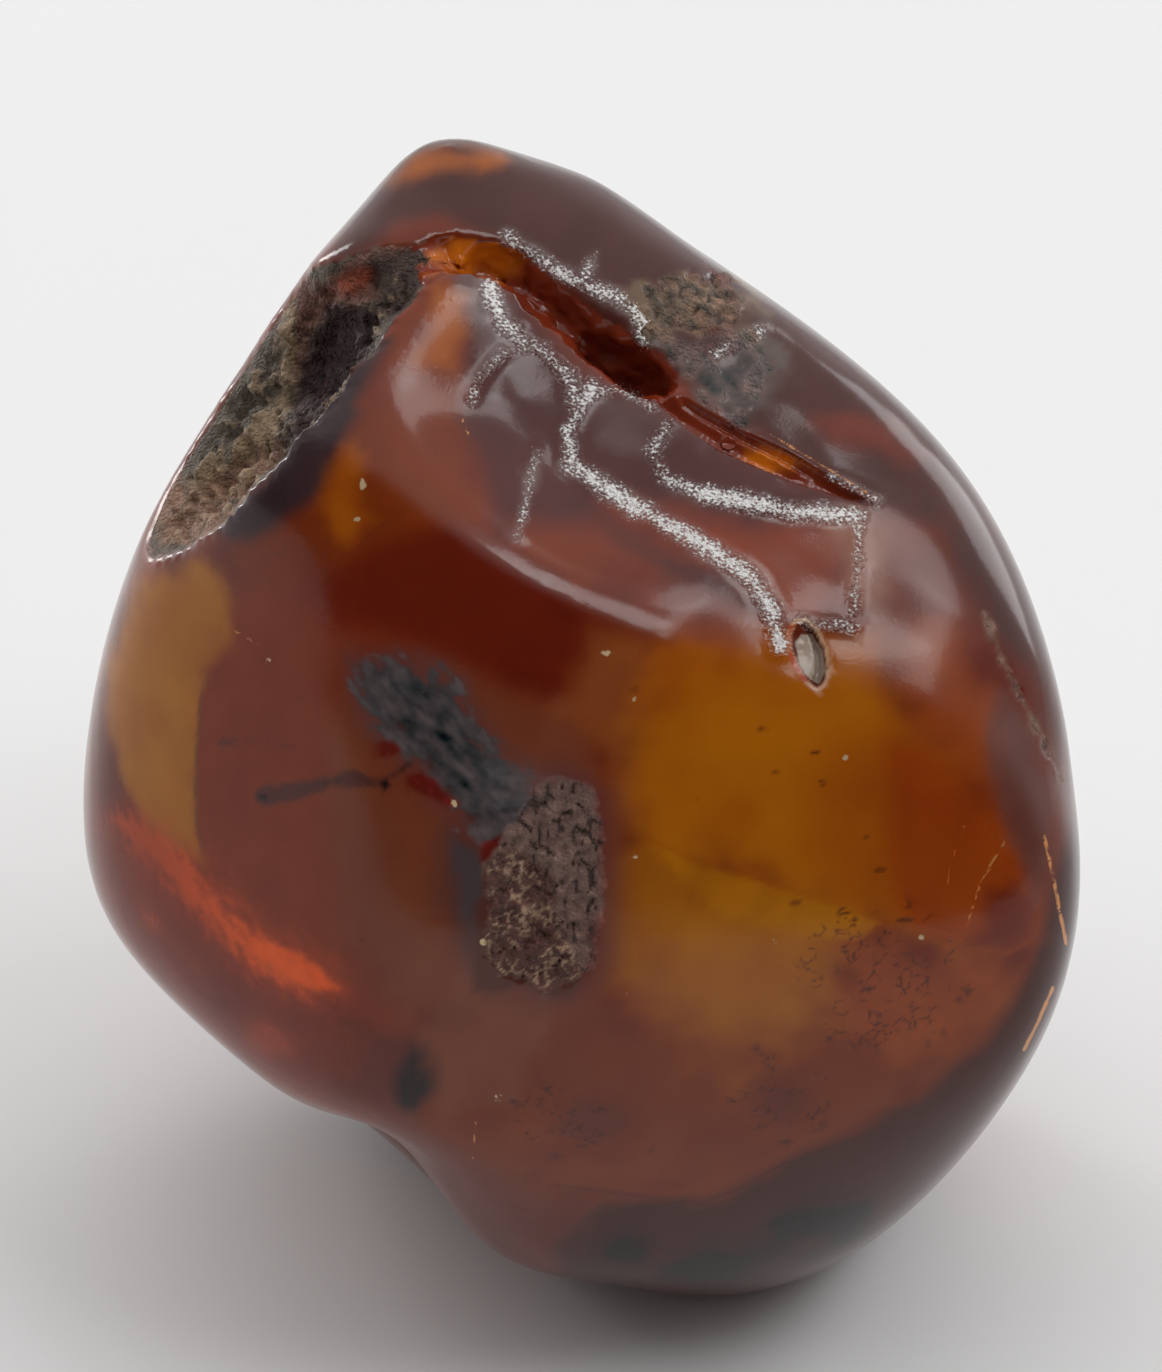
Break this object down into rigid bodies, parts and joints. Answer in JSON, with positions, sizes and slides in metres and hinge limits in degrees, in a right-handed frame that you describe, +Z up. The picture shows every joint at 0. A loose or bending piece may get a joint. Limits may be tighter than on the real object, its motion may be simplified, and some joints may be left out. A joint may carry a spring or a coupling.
{
  "type": "amber nugget",
  "caption": "Polished cognac amber nugget with an open fissure, a bark-filled hollow below its peak and a small flat to stand on.",
  "frame": {"origin": "centre of the bounding box's underside, on the surface the nugget stands on", "axes": "+Z up, from the resting flat to the peak; -Y towards the broad clear face below the fissure; +X to the right seen from that face"},
  "size_m": [0.0466, 0.0446, 0.0566],
  "materials": {
    "amber": "polished"
  },
  "bodies": {
    "root": {"nugget": "amber"}
  },
  "joints": []
}
